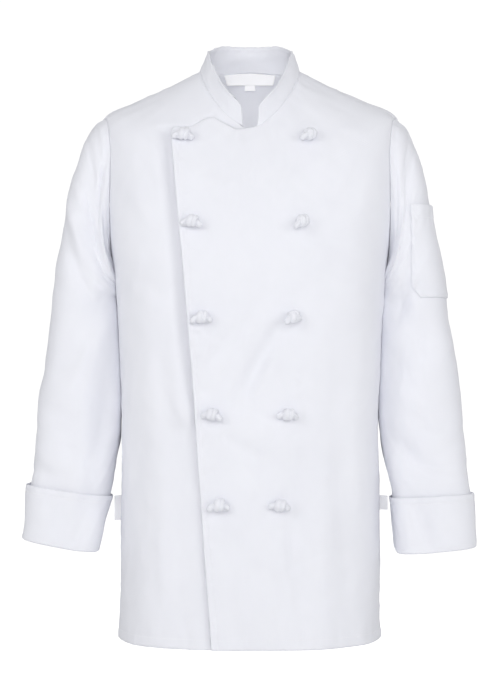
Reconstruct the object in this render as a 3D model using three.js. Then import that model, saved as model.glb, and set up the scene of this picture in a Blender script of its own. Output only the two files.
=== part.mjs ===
// Chef jacket in millimetres, +Z up: double-breasted, long-sleeved, filled out as on a general figure.
// The origin is midway between the two points where neck and shoulder seam meet. The front faces -Y,
// and +X is the wearer's left.
import * as THREE from "three";

// Cloth and seams
const CLOTH = 1.6; // twill with its turnings
const SEAM_GAP = 0.4; // clearance between sewn pieces
const LAYER_GAP = 2.2; // air between two fronts that lie on each other
const WHITE = 0xf3f4f7;
const TWILL_ROUGHNESS = 0.85;
const TAPE_ROUGHNESS = 0.6;

// Body: rows of torsoSections where the armhole starts and ends, and the neckline
const UNDERARM_ROW = 5;
const SHOULDER_ROW = 9;
const NECK_ROW = 12;
const ARMHOLE_ANGLE = 14; // half the armhole's width, in degrees round the body
const SHOULDER_SEAM_ANGLE = 8; // the shoulder seam lies forward of the ridge
const UNDER_FRONT_DIP = 22; // the under front dips over this width to pass below the other
const UNDER_FRONT_RISE = 12; // above the lap's top edge it rises again over this height
const EDGE_LIFT = 2.4; // the free edge of the over front stands off
const EDGE_LIFT_WIDTH = 26;
const ARMHOLE_SHIFT = 1.2; // the sleeve's edge stands outside the body's edge
const ARMHOLE_EASE = 2; // rows of a sleeve's sections over which it leaves the armhole's own shape
const ARMHOLE_STEPS = 12; // rows of cloth up the armhole, and half the columns round a sleeve

// Sections of the body, hem to neckline: heights of the ring at the side, front and back, half width,
// depths, squareness of the ring, and how fast it leaves the height of its side
const torsoSections = [
  { side: -797, front: -798, back: -798, halfWidth: 184, frontDepth: 130, backDepth: 121, squareness: 2.7, bend: 2 },
  { side: -700, front: -703, back: -703, halfWidth: 183, frontDepth: 126, backDepth: 117, squareness: 2.7, bend: 2 },
  { side: -600, front: -604, back: -603, halfWidth: 182, frontDepth: 122, backDepth: 113, squareness: 2.8, bend: 2 },
  { side: -500, front: -505, back: -503, halfWidth: 181, frontDepth: 119, backDepth: 110, squareness: 2.9, bend: 2 },
  { side: -400, front: -406, back: -403, halfWidth: 184, frontDepth: 121, backDepth: 112, squareness: 3, bend: 2 },
  { side: -298, front: -312, back: -302, halfWidth: 190, frontDepth: 125, backDepth: 117, squareness: 3, bend: 2 },
  { side: -239, front: -262, back: -248, halfWidth: 198, frontDepth: 124, backDepth: 120, squareness: 3, bend: 2.2 },
  { side: -180, front: -217, back: -198, halfWidth: 205, frontDepth: 121, backDepth: 120, squareness: 2.9, bend: 2.6 },
  { side: -120, front: -180, back: -152, halfWidth: 210, frontDepth: 116, backDepth: 116, squareness: 2.65, bend: 3 },
  { side: -68, front: -154, back: -112, halfWidth: 207, frontDepth: 110, backDepth: 109, squareness: 2.3, bend: 3.6 },
  { side: -44, front: -129, back: -70, halfWidth: 162, frontDepth: 103, backDepth: 98, squareness: 2.15, bend: 3.2 },
  { side: -23, front: -108, back: -29, halfWidth: 116, frontDepth: 95, backDepth: 82, squareness: 2.1, bend: 2.4 },
  { side: 0, front: -91, back: 9, halfWidth: 71, frontDepth: 85, backDepth: 62, squareness: 2.1, bend: 1.6 },
];

// Slanted free edge of the over front, hem to corner: height, and distance past the centre
const frontEdge = [
  { height: -798, reach: 51 },
  { height: -665, reach: 61 },
  { height: -540, reach: 70 },
  { height: -420, reach: 78 },
  { height: -300, reach: 88 },
  { height: -180, reach: 101 },
  { height: -93, reach: 113 },
];

// Top edge of the lap, from the centre notch to the corner: distance past the centre, and height
const lapTop = [
  { reach: 0, height: -91 },
  { reach: 20, height: -94 },
  { reach: 35, height: -84 },
  { reach: 50, height: -75 },
  { reach: 62, height: -78 },
  { reach: 80, height: -88 },
  { reach: 113, height: -91 },
];

// Largest folds of the body, seen from the front: ends, half width, and height above the cloth
const frontFolds = [
  { fromX: 0, fromZ: -365, toX: -52, toZ: -452, halfWidth: 15, rise: -3 },
  { fromX: 28, fromZ: -380, toX: -10, toZ: -462, halfWidth: 15, rise: -3.5 },
  { fromX: -24, fromZ: -502, toX: 54, toZ: -530, halfWidth: 18, rise: 3.5 },
  { fromX: 68, fromZ: -624, toX: 90, toZ: -668, halfWidth: 13, rise: -3 },
  { fromX: -138, fromZ: -330, toX: -132, toZ: -770, halfWidth: 20, rise: 3 },
  { fromX: -98, fromZ: -510, toX: -90, toZ: -790, halfWidth: 16, rise: -4 },
  { fromX: 128, fromZ: -545, toX: 133, toZ: -795, halfWidth: 17, rise: -3.5 },
  { fromX: 92, fromZ: -640, toX: 96, toZ: -800, halfWidth: 20, rise: 3 },
];

// Largest folds of the back, in the same terms
const backFolds = [
  { fromX: -120, fromZ: -250, toX: -100, toZ: -420, halfWidth: 18, rise: -3 },
  { fromX: 118, fromZ: -240, toX: 96, toZ: -410, halfWidth: 18, rise: -3 },
  { fromX: -60, fromZ: -470, toX: -70, toZ: -800, halfWidth: 22, rise: 4 },
  { fromX: -14, fromZ: -520, toX: -20, toZ: -800, halfWidth: 18, rise: -4 },
  { fromX: 48, fromZ: -450, toX: 56, toZ: -800, halfWidth: 24, rise: 4 },
  { fromX: 104, fromZ: -560, toX: 110, toZ: -800, halfWidth: 17, rise: -4 },
  { fromX: -40, fromZ: -120, toX: 44, toZ: -126, halfWidth: 14, rise: -2 },
];

// Sections of a sleeve, armhole to fold of the cuff: outer and inner points seen from the front, middle
// and half of the depth. The last two rows are the cuff's upper edge and its fold.
const SLEEVE_SQUARENESS = 3;
const leftSleeveSections = [
  { outerX: 206, outerZ: -69, innerX: 190.6, innerZ: -298, middleY: -2, halfDepth: 62 },
  { outerX: 223, outerZ: -86, innerX: 190.9, innerZ: -301, middleY: -1, halfDepth: 65 },
  { outerX: 236, outerZ: -116, innerX: 191, innerZ: -304, middleY: 1, halfDepth: 68 },
  { outerX: 249, outerZ: -168, innerX: 190.9, innerZ: -308, middleY: 3, halfDepth: 70 },
  { outerX: 261.5, outerZ: -238, innerX: 190.3, innerZ: -315, middleY: 5, halfDepth: 70 },
  { outerX: 276.5, outerZ: -318, innerX: 188.6, innerZ: -337, middleY: 7, halfDepth: 68 },
  { outerX: 289, outerZ: -402, innerX: 184.9, innerZ: -412, middleY: 7, halfDepth: 63 },
  { outerX: 298, outerZ: -480, innerX: 182.4, innerZ: -490, middleY: 2, halfDepth: 56 },
  { outerX: 303.5, outerZ: -542, innerX: 189.5, innerZ: -549, middleY: -11, halfDepth: 50 },
  { outerX: 306.5, outerZ: -595, innerX: 200, innerZ: -601, middleY: -24, halfDepth: 46 },
  { outerX: 310.5, outerZ: -668, innerX: 208, innerZ: -677, middleY: -38, halfDepth: 45 },
];
const rightSleeveSections = [
  { outerX: 206, outerZ: -68, innerX: 190.6, innerZ: -298, middleY: -2, halfDepth: 62 },
  { outerX: 224, outerZ: -82, innerX: 190.9, innerZ: -301, middleY: -1, halfDepth: 65 },
  { outerX: 238.5, outerZ: -115, innerX: 191, innerZ: -304, middleY: 1, halfDepth: 68 },
  { outerX: 252, outerZ: -166, innerX: 190.9, innerZ: -308, middleY: 3, halfDepth: 70 },
  { outerX: 266, outerZ: -236, innerX: 190.3, innerZ: -315, middleY: 5, halfDepth: 70 },
  { outerX: 278.5, outerZ: -316, innerX: 188.6, innerZ: -337, middleY: 7, halfDepth: 68 },
  { outerX: 289.5, outerZ: -398, innerX: 184.9, innerZ: -412, middleY: 7, halfDepth: 63 },
  { outerX: 297.5, outerZ: -474, innerX: 182.4, innerZ: -490, middleY: 2, halfDepth: 56 },
  { outerX: 303.5, outerZ: -534, innerX: 188.5, innerZ: -549, middleY: -10, halfDepth: 50 },
  { outerX: 306.5, outerZ: -583, innerX: 198, innerZ: -599, middleY: -21, halfDepth: 46 },
  { outerX: 314, outerZ: -657, innerX: 216, innerZ: -675.5, middleY: -34, halfDepth: 45 },
];

// Largest folds of a sleeve, in its own terms: angle round it (0 outside, 90 in front), row of the table
// of sections, half width in degrees and in rows, and height above the cloth
const sleeveFolds = [
  { angle: 66, row: 1.5, turn: 40, halfAngle: 30, halfRow: 0.45, rise: -3 },
  { angle: 115, row: 5.2, turn: -60, halfAngle: 40, halfRow: 0.45, rise: -4 },
  { angle: 128, row: 7.3, turn: 20, halfAngle: 24, halfRow: 1.2, rise: -5 },
  { angle: 50, row: 7.4, turn: 50, halfAngle: 44, halfRow: 0.4, rise: 3 },
  { angle: 250, row: 6.4, turn: -50, halfAngle: 44, halfRow: 0.45, rise: -4 },
  { angle: 300, row: 7.4, turn: -40, halfAngle: 40, halfRow: 0.4, rise: 3 },
  { angle: 285, row: 3.4, turn: 45, halfAngle: 40, halfRow: 0.5, rise: -3 },
];

// Collar
const COLLAR_HALF_GAP = 9;
const COLLAR_CORNER_START = 0.78; // the end is upright up to this part of the height
const COLLAR_CORNER_REACH = 6;
const collarTop = {
  side: 29, front: -62, back: 45, halfWidth: 59.5, frontDepth: 88, backDepth: 60, bend: 1.5, backBend: 6,
};

// Cuff: a band turned back up outside the sleeve's end
const CUFF_DEPTH = 80;
const CUFF_STAND = 4.4; // face of the cuff outside the face of the sleeve
const CUFF_INNER_LEG = 12; // what is left of the band inside the sleeve's end

// Sleeve pocket on the wearer's left sleeve
const POCKET_FRONT_TOP = 76; // degrees round the sleeve, as are the next two
const POCKET_FRONT_BOTTOM = 101;
const POCKET_BACK = -6;
const POCKET_BEVEL_PART = 0.146; // part of the pocket's width that its slanted corner takes
const POCKET_BEVEL_HEIGHT = 16;
const POCKET_TOP = -194;
const POCKET_BOTTOM = -322;
const POCKET_STAND = 1.1; // air between the sleeve and the pocket
const POCKET_COLUMNS = 8; // facets across the pocket and up it
const POCKET_ROWS = 8;

// Knot buttons: length, girth, and the five rows of the two columns
const KNOT_LENGTH = 31;
const KNOT_RADIUS = 7.6;
const KNOT_STAND = 0.35; // air between the front and a knot
const knotRows = [
  { height: -105, overEdge: -91, overBreast: 80 },
  { height: -223, overEdge: -78, overBreast: 69 },
  { height: -351, overEdge: -65, overBreast: 57 },
  { height: -482, overEdge: -51, overBreast: 50 },
  { height: -604, overEdge: -42, overBreast: 39 },
];

// Labels and tags, left blank
const LABEL_ROW_HEIGHT = 39; // a row of the body's sections, measured down the back below the neckline
const LABEL_HANG = 0.16; // how far a label leaves the cloth for each millimetre below the seam
const NECK_LABEL = { topWidth: 76, bottomWidth: 60, height: 15, drop: 0.5, thickness: 1 };
const SIZE_TAB = { topWidth: 13, bottomWidth: 13, height: 7, drop: 16, thickness: 1 };
const SIDE_TAGS = {
  side_tag_right: { sign: -1, top: -601, height: 35, reach: 9 },
  side_tag_left: { sign: 1, top: -601, height: 20, reach: 12 },
};

// Reads a column of a table at a place between its rows, along a smooth curve through them.
function readColumn(table, column, place) {
  const last = table.length - 1;
  const row = Math.max(0, Math.min(Math.floor(place), last - 1));
  const t = place - row;
  const start = table[row][column];
  const end = table[row + 1][column];
  const before = row > 0 ? table[row - 1][column] : 2 * start - end;
  const after = row + 2 <= last ? table[row + 2][column] : 2 * end - start;
  const slopeStart = (end - before) / 2;
  const slopeEnd = (after - start) / 2;
  const rise = end - start;
  return start + t * (slopeStart + t * (3 * rise - 2 * slopeStart - slopeEnd + t * (slopeStart + slopeEnd - 2 * rise)));
}

// Reads a column where another column, which runs one way only, has a given value.
function readAlong(table, key, value, column) {
  const rising = table[table.length - 1][key] > table[0][key];
  let row = 0;
  while (row < table.length - 2 && (rising ? table[row + 1][key] < value : table[row + 1][key] > value)) {
    row += 1;
  }
  const t = (value - table[row][key]) / (table[row + 1][key] - table[row][key]);
  return THREE.MathUtils.lerp(table[row][column], table[row + 1][column], THREE.MathUtils.clamp(t, 0, 1));
}

// Finds where a function of one number that rises from low to high passes zero.
function solveRising(low, high, heightAt) {
  let bottom = low;
  let top = high;
  for (let step = 0; step < 40; step += 1) {
    const middle = (bottom + top) / 2;
    if (heightAt(middle) < 0) {
      bottom = middle;
    } else {
      top = middle;
    }
  }
  return (bottom + top) / 2;
}

// A point on a ring: squared-off oval seen from above, whose front and back leave the height of its side.
function ringPoint(ring, angle) {
  const c = Math.cos(angle);
  const s = Math.sin(angle);
  const depth = s > 0 ? ring.frontDepth : ring.backDepth;
  const level = s > 0 ? ring.front : ring.back;
  const power = ring.squareness ?? 2;
  const radius = (Math.abs(c / ring.halfWidth) ** power + Math.abs(s / depth) ** power) ** (-1 / power);
  const bend = s > 0 ? ring.bend : ring.backBend ?? ring.bend;
  const z = ring.side + (level - ring.side) * (1 - Math.abs(c) ** bend);
  return new THREE.Vector3(radius * c, -radius * s, z);
}

// Height of a table of folds above the cloth, at a place seen from the front.
function foldRise(folds, x, z) {
  let rise = 0;
  for (const fold of folds) {
    const alongX = fold.toX - fold.fromX;
    const alongZ = fold.toZ - fold.fromZ;
    const along = ((x - fold.fromX) * alongX + (z - fold.fromZ) * alongZ) / (alongX ** 2 + alongZ ** 2);
    const t = THREE.MathUtils.clamp(along, 0, 1);
    const distance = Math.hypot(x - fold.fromX - t * alongX, z - fold.fromZ - t * alongZ);
    rise += fold.rise * Math.exp(-((distance / fold.halfWidth) ** 2));
  }
  return rise;
}

// The body's outer surface: angle 0 at the wearer's left side, 90 degrees in front; place is a row.
function torsoPoint(angle, place) {
  const ring = {};
  for (const column of Object.keys(torsoSections[0])) {
    ring[column] = readColumn(torsoSections, column, place);
  }
  const point = ringPoint(ring, angle);
  const outward = new THREE.Vector3(point.x / ring.halfWidth ** 2, point.y / ring.frontDepth ** 2, 0).normalize();
  const folds = Math.sin(angle) > 0 ? frontFolds : backFolds;
  return point.addScaledVector(outward, foldRise(folds, point.x, point.z) * Math.abs(Math.sin(angle)));
}

// Outward normal of a surface of two numbers, from small steps that stay between 0 and 1 unless it closes.
function normalOf(surface, u, v, closed, facing) {
  const step = 1e-3;
  const [u0, u1] = closed ? [u - step, u + step] : [Math.max(0, u - step), Math.min(1, u + step)];
  const [v0, v1] = [Math.max(0, v - step), Math.min(1, v + step)];
  const across = surface(u1, v).sub(surface(u0, v));
  const along = surface(u, v1).sub(surface(u, v0));
  return across.cross(along).normalize().multiplyScalar(facing);
}

// A surface moved out along its own normal, by a distance that may vary over it.
function movedOut(surface, distanceAt, facing) {
  return (u, v) => surface(u, v).addScaledVector(normalOf(surface, u, v, false, facing), distanceAt(u, v));
}

// A closed wall of cloth under a surface of two numbers, each from 0 to 1. Columns may close into a tube.
// Facing is 1 where across times along points out of the garment, and -1 where it points in.
function clothWall({ surface, columns, rows, closed = false, facing = 1, thickness = CLOTH }) {
  const positions = [];
  const acrossCount = closed ? columns.length - 1 : columns.length;
  for (const depth of [0, thickness]) {
    for (const v of rows) {
      for (let i = 0; i < acrossCount; i += 1) {
        const point = surface(columns[i], v);
        point.addScaledVector(normalOf(surface, columns[i], v, closed, facing), -depth);
        positions.push(point.x, point.y, point.z);
      }
    }
  }
  const layer = rows.length * acrossCount;
  const vertex = (side, i, j) => side * layer + j * acrossCount + (i % acrossCount);
  const indices = [];
  const quad = (a, b, c, d) => {
    if (facing > 0) {
      indices.push(a, b, c, a, c, d);
    } else {
      indices.push(a, c, b, a, d, c);
    }
  };
  for (let j = 0; j < rows.length - 1; j += 1) {
    for (let i = 0; i < columns.length - 1; i += 1) {
      quad(vertex(0, i, j), vertex(0, i + 1, j), vertex(0, i + 1, j + 1), vertex(0, i, j + 1));
      quad(vertex(1, i, j), vertex(1, i, j + 1), vertex(1, i + 1, j + 1), vertex(1, i + 1, j));
    }
    if (!closed) {
      const end = columns.length - 1;
      quad(vertex(0, 0, j), vertex(0, 0, j + 1), vertex(1, 0, j + 1), vertex(1, 0, j));
      quad(vertex(0, end, j), vertex(1, end, j), vertex(1, end, j + 1), vertex(0, end, j + 1));
    }
  }
  const top = rows.length - 1;
  for (let i = 0; i < columns.length - 1; i += 1) {
    quad(vertex(0, i, 0), vertex(1, i, 0), vertex(1, i + 1, 0), vertex(0, i + 1, 0));
    quad(vertex(0, i, top), vertex(0, i + 1, top), vertex(1, i + 1, top), vertex(1, i, top));
  }
  const geometry = new THREE.BufferGeometry();
  geometry.setAttribute("position", new THREE.Float32BufferAttribute(positions, 3));
  geometry.setIndex(indices);
  geometry.computeVertexNormals();
  return geometry;
}

// Numbers from 0 to 1 in equal steps.
function evenSteps(count) {
  return Array.from({ length: count + 1 }, (_, index) => index / count);
}

// Rows of the body's walls, close together at both ends of the armhole.
function bodyPlaces() {
  const places = evenSteps(6).map((step) => step * UNDERARM_ROW);
  for (const step of evenSteps(ARMHOLE_STEPS).slice(1)) {
    places.push(THREE.MathUtils.lerp(UNDERARM_ROW, SHOULDER_ROW, (1 - Math.cos(step * Math.PI)) / 2));
  }
  for (const step of evenSteps(5).slice(1)) {
    places.push(THREE.MathUtils.lerp(SHOULDER_ROW, NECK_ROW, step));
  }
  return places;
}

// Angle of the front's and the back's side edge: the side seam, then the armhole, then the shoulder seam.
function sideEdgeAngle(place, sign) {
  const halfSeam = SEAM_GAP / 2 / readColumn(torsoSections, "halfWidth", place);
  const middle = (UNDERARM_ROW + SHOULDER_ROW) / 2;
  const upDown = THREE.MathUtils.clamp((place - middle) / (SHOULDER_ROW - middle), -1, 1);
  const opening = ARMHOLE_ANGLE * Math.sqrt(1 - upDown ** 2);
  const seam = (SHOULDER_SEAM_ANGLE * (1 + upDown)) / 2;
  return THREE.MathUtils.degToRad(seam + sign * opening) + sign * halfSeam;
}

// The armhole's edge: angle 0 at the shoulder seam, 90 degrees in front, 180 at the underarm.
function armholePoint(turn) {
  const middle = (UNDERARM_ROW + SHOULDER_ROW) / 2;
  const place = middle + (SHOULDER_ROW - middle) * Math.cos(turn);
  const seam = (SHOULDER_SEAM_ANGLE * (1 + Math.cos(turn))) / 2;
  return torsoPoint(THREE.MathUtils.degToRad(seam + ARMHOLE_ANGLE * Math.sin(turn)), place);
}

// Angle on the body of a place that is a distance past the centre of the front, on a row.
function lapAngle(reach, place) {
  const halfWidth = readColumn(torsoSections, "halfWidth", place);
  const power = readColumn(torsoSections, "squareness", place);
  const x = Math.min(reach, 0.98 * halfWidth);
  const depth = readColumn(torsoSections, "frontDepth", place) * (1 - (x / halfWidth) ** power) ** (1 / power);
  return Math.PI - Math.atan2(depth, x);
}

// Row of the body at a distance across and a height, on the front.
function frontPlace(x, z) {
  const place = solveRising(0, NECK_ROW, (row) => torsoPoint(lapAngle(Math.abs(x), row), row).z - z);
  return { place, angle: x < 0 ? lapAngle(-x, place) : Math.PI - lapAngle(x, place) };
}

// A front from its side seam, across the centre, to its free edge. Unmirrored, it is the wearer's left.
function frontSurface() {
  const corner = frontEdge[frontEdge.length - 1];
  const cornerPlace = frontPlace(-corner.reach, lapTop[lapTop.length - 1].height).place;
  const edgeAngle = (place) => {
    const height = readColumn(torsoSections, "front", Math.min(place, cornerPlace));
    return lapAngle(readAlong(frontEdge, "height", height, "reach"), Math.min(place, cornerPlace));
  };
  const angleAt = (u, place) => THREE.MathUtils.lerp(sideEdgeAngle(place, 1), edgeAngle(place), u);
  const topPlaces = new Map();
  const topPlace = (u) => {
    if (!topPlaces.has(u)) {
      topPlaces.set(u, findTopPlace(u));
    }
    return topPlaces.get(u);
  };
  const findTopPlace = (u) => {
    const aboveLap = (place) => {
      const point = torsoPoint(angleAt(u, place), place);
      return point.z - readAlong(lapTop, "reach", Math.max(0, -point.x), "height");
    };
    return angleAt(u, NECK_ROW) < Math.PI / 2 ? NECK_ROW : solveRising(SHOULDER_ROW, NECK_ROW, aboveLap);
  };
  return { angleAt, topPlace };
}

// The over front stands off along its free edge; the under front dips to pass below it, and rises again
// above the lap's top edge to meet the collar and the shoulder seam.
function overDistance(point) {
  const fromEdge = point.x + readAlong(frontEdge, "height", point.z, "reach");
  return EDGE_LIFT * Math.exp(-((fromEdge / EDGE_LIFT_WIDTH) ** 2));
}

function underDistance(point) {
  const fromEdge = point.x + readAlong(frontEdge, "height", point.z, "reach");
  const dip = THREE.MathUtils.smoothstep(fromEdge, -UNDER_FRONT_DIP, 0);
  const aboveLap = point.z - readAlong(lapTop, "reach", Math.max(0, -point.x), "height");
  const risen = point.x < 0 ? THREE.MathUtils.smoothstep(aboveLap, 0, UNDER_FRONT_RISE) : 0;
  return -(CLOTH + LAYER_GAP) * dip * (1 - risen);
}

function frontGeometry(side) {
  const { angleAt, topPlace } = frontSurface();
  const places = bodyPlaces();
  const isOver = side > 0;
  const base = (u, v) => {
    const across = isOver ? u : 1 - u;
    const place = v * topPlace(across);
    const angle = angleAt(across, place);
    return torsoPoint(isOver ? angle : Math.PI - angle, place);
  };
  const distanceAt = (u, v) => (isOver ? overDistance : underDistance)(base(u, v));
  return clothWall({
    surface: movedOut(base, distanceAt, -1),
    columns: evenSteps(isOver ? 20 : 17),
    rows: places.map((place) => place / NECK_ROW),
    facing: -1,
  });
}

function backGeometry() {
  const surface = (u, v) => {
    const place = v * NECK_ROW;
    const edge = sideEdgeAngle(place, -1);
    return torsoPoint(THREE.MathUtils.lerp(Math.PI - edge, 2 * Math.PI + edge, u), place);
  };
  const rows = bodyPlaces().map((place) => place / NECK_ROW);
  return clothWall({ surface, columns: evenSteps(24), rows, facing: -1 });
}

// The collar's outer surface, from its end on the wearer's right, round the neck, to its other end.
function collarSurface(u, v) {
  const neck = {};
  for (const column of Object.keys(torsoSections[0])) {
    neck[column] = torsoSections[NECK_ROW][column];
  }
  const corner = Math.max(0, (v - COLLAR_CORNER_START) / (1 - COLLAR_CORNER_START));
  const halfGap = COLLAR_HALF_GAP + COLLAR_CORNER_REACH * (1 - Math.sqrt(1 - 0.98 * corner ** 2));
  const gapAngle = Math.asin(halfGap / THREE.MathUtils.lerp(neck.halfWidth, collarTop.halfWidth, v));
  const angle = THREE.MathUtils.lerp(Math.PI / 2 + gapAngle, (5 * Math.PI) / 2 - gapAngle, u);
  const base = ringPoint(neck, angle);
  const top = ringPoint(collarTop, angle);
  base.addScaledVector(top.clone().sub(base).normalize(), SEAM_GAP);
  return base.lerp(top, v);
}

function collarGeometry() {
  return clothWall({ surface: collarSurface, columns: evenSteps(34), rows: [0, 0.3, 0.6, 0.75, 0.9, 1], facing: -1 });
}

// A point on a section of a sleeve: a squared-off oval in the plane of its outer and inner points.
function sleeveSectionPoint(sections, turn, place) {
  const read = (column) => readColumn(sections, column, place);
  const outer = new THREE.Vector3(read("outerX"), 0, read("outerZ"));
  const inner = new THREE.Vector3(read("innerX"), 0, read("innerZ"));
  const c = Math.cos(turn);
  const s = Math.sin(turn);
  const radius = (Math.abs(c) ** SLEEVE_SQUARENESS + Math.abs(s) ** SLEEVE_SQUARENESS) ** (-1 / SLEEVE_SQUARENESS);
  const point = outer.clone().add(inner).multiplyScalar(0.5);
  point.addScaledVector(outer.sub(inner), (radius * c) / 2);
  point.y = read("middleY") - read("halfDepth") * radius * s;
  return point;
}

// A sleeve's outer surface. It starts at the armhole's edge and eases into the shape of its sections.
function sleeveSurface(sections, side) {
  const lastRow = sections.length - 1;
  return (u, v) => {
    const turn = u * 2 * Math.PI * side;
    const place = v * lastRow;
    const point = sleeveSectionPoint(sections, turn, place);
    const outward = new THREE.Vector3(Math.cos(turn), -Math.sin(turn), 0);
    point.addScaledVector(outward, sleeveFoldRise(THREE.MathUtils.radToDeg(turn), place));
    const toEdge = armholePoint(turn).sub(sleeveSectionPoint(sections, turn, 0));
    toEdge.x += ARMHOLE_SHIFT;
    point.addScaledVector(toEdge, 1 - THREE.MathUtils.smoothstep(place, 0, ARMHOLE_EASE));
    point.x *= side;
    return point;
  };
}

// Height of a sleeve's folds above the cloth. Each is a soft oval patch, turned in its own plane.
function sleeveFoldRise(degrees, place) {
  let rise = 0;
  for (const fold of sleeveFolds) {
    const around = THREE.MathUtils.euclideanModulo(degrees - fold.angle + 180, 360) - 180;
    const slope = (place - fold.row - (around / 60) * Math.tan(THREE.MathUtils.degToRad(fold.turn)) * 0.6) / fold.halfRow;
    rise += fold.rise * Math.exp(-(slope ** 2) - (around / fold.halfAngle) ** 2);
  }
  return rise;
}

function sleeveGeometry(sections, side) {
  const cuffRow = (sections.length - 2) / (sections.length - 1);
  const end = 1 - ((CUFF_INNER_LEG + SEAM_GAP) / CUFF_DEPTH) * (1 - cuffRow);
  return clothWall({
    surface: sleeveSurface(sections, side),
    columns: evenSteps(2 * ARMHOLE_STEPS),
    rows: evenSteps(20).map((step) => step * end),
    closed: true,
  });
}

// The cuff's outer face, from inside the sleeve's end, round the fold and up outside the sleeve.
function cuffGeometry(sections, side) {
  const sleeve = sleeveSurface(sections, side);
  const cuffPart = 1 / (sections.length - 1);
  const radius = (CUFF_STAND + CLOTH) / 2;
  const profile = [{ out: -CLOTH, up: CUFF_INNER_LEG }];
  for (const step of evenSteps(4)) {
    const turn = step * Math.PI;
    profile.push({ out: CUFF_STAND - radius - radius * Math.cos(turn), up: radius - radius * Math.sin(turn) });
  }
  for (const step of evenSteps(3).slice(1)) {
    profile.push({ out: CUFF_STAND, up: THREE.MathUtils.lerp(radius, CUFF_DEPTH, step) });
  }
  const lastRow = profile.length - 1;
  const surface = (u, v) => {
    const place = v * lastRow;
    const row = Math.min(Math.floor(place), lastRow - 1);
    const out = THREE.MathUtils.lerp(profile[row].out, profile[row + 1].out, place - row);
    const up = THREE.MathUtils.lerp(profile[row].up, profile[row + 1].up, place - row);
    const along = 1 - (up / CUFF_DEPTH) * cuffPart;
    return sleeve(u, along).addScaledVector(normalOf(sleeve, u, along, true, 1), out);
  };
  return clothWall({ surface, columns: evenSteps(2 * ARMHOLE_STEPS), rows: evenSteps(lastRow), closed: true, facing: -1 });
}

// The patch pocket lies on the left sleeve, with its lower front corner cut off at a slant.
function pocketGeometry() {
  const sleeve = sleeveSurface(leftSleeveSections, 1);
  const surface = (u, v) => {
    const front = THREE.MathUtils.lerp(POCKET_FRONT_BOTTOM, POCKET_FRONT_TOP, v);
    const angle = THREE.MathUtils.lerp(front, POCKET_BACK, u);
    const bevel = POCKET_BEVEL_HEIGHT * Math.max(0, 1 - u / POCKET_BEVEL_PART);
    const height = THREE.MathUtils.lerp(POCKET_BOTTOM + bevel, POCKET_TOP, v);
    const along = solveRising(0.1, 0.8, (place) => height - sleeve(angle / 360, place).z);
    const normal = normalOf(sleeve, angle / 360, along, true, 1);
    return sleeve(angle / 360, along).addScaledVector(normal, CLOTH + POCKET_STAND);
  };
  const columns = [0, ...evenSteps(POCKET_COLUMNS).map((step) => THREE.MathUtils.lerp(POCKET_BEVEL_PART, 1, step))];
  return clothWall({ surface, columns, rows: evenSteps(POCKET_ROWS) });
}

// A knot button: a short cord tied round itself, with a full middle and two ends.
function knotGeometry() {
  const profile = [];
  for (const step of evenSteps(10)) {
    const along = (step - 0.5) * KNOT_LENGTH;
    const barrel = Math.sqrt(Math.max(0, 1 - (2 * step - 1) ** 4));
    const girth = 0.82 + 0.18 * Math.cos((2 * step - 1) * 2 * Math.PI);
    profile.push(new THREE.Vector2(KNOT_RADIUS * barrel * girth, along));
  }
  profile[0].x = 0;
  profile[profile.length - 1].x = 0;
  return new THREE.LatheGeometry(profile, 10).rotateZ(Math.PI / 2);
}

// A blank label that hangs inside the back neck seam, further from the cloth the lower it reaches.
function hangingLabel({ topWidth, bottomWidth, height, drop, thickness }) {
  const surface = (u, v) => {
    const below = drop + (1 - v) * height;
    const place = NECK_ROW - below / LABEL_ROW_HEIGHT;
    const halfTurn = THREE.MathUtils.lerp(bottomWidth, topWidth, v) / 2 / torsoSections[NECK_ROW].backDepth;
    return torsoPoint((3 * Math.PI) / 2 + (2 * u - 1) * halfTurn, place);
  };
  const inside = (u, v) => -(CLOTH + SEAM_GAP + LABEL_HANG * (drop + (1 - v) * height));
  return clothWall({
    surface: movedOut(surface, inside, -1),
    columns: evenSteps(6),
    rows: evenSteps(2),
    facing: -1,
    thickness,
  });
}

function sideTagGeometry({ sign, top, height, reach }) {
  const bodyX = (z) => readAlong(torsoSections, "side", z, "halfWidth");
  const x = Math.max(bodyX(top), bodyX(top - height)) + SEAM_GAP;
  const geometry = new THREE.BoxGeometry(reach, 1, height);
  return geometry.translate(sign * (x + reach / 2), 0, top - height / 2);
}

function clothMesh(name, geometry, roughness = TWILL_ROUGHNESS) {
  const material = new THREE.MeshStandardMaterial({ color: WHITE, roughness, metalness: 0 });
  const mesh = new THREE.Mesh(geometry, material);
  mesh.name = name;
  return mesh;
}

// Places the knots on the over front, along its free edge and across the breast.
function addKnots(group) {
  let number = 1;
  for (const row of knotRows) {
    for (const x of [row.overEdge, row.overBreast]) {
      const { place, angle } = frontPlace(x, row.height);
      const surface = (u, v) => torsoPoint(angle + u - 0.5, place + v - 0.5);
      const point = surface(0.5, 0.5);
      const normal = normalOf(surface, 0.5, 0.5, false, -1);
      const out = KNOT_RADIUS + KNOT_STAND + overDistance(point);
      const knot = clothMesh(`knot_button_${number}`, knotGeometry());
      knot.position.copy(point.addScaledVector(normal, out));
      knot.rotation.z = Math.atan2(normal.x, -normal.y);
      group.add(knot);
      number += 1;
    }
  }
}

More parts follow.
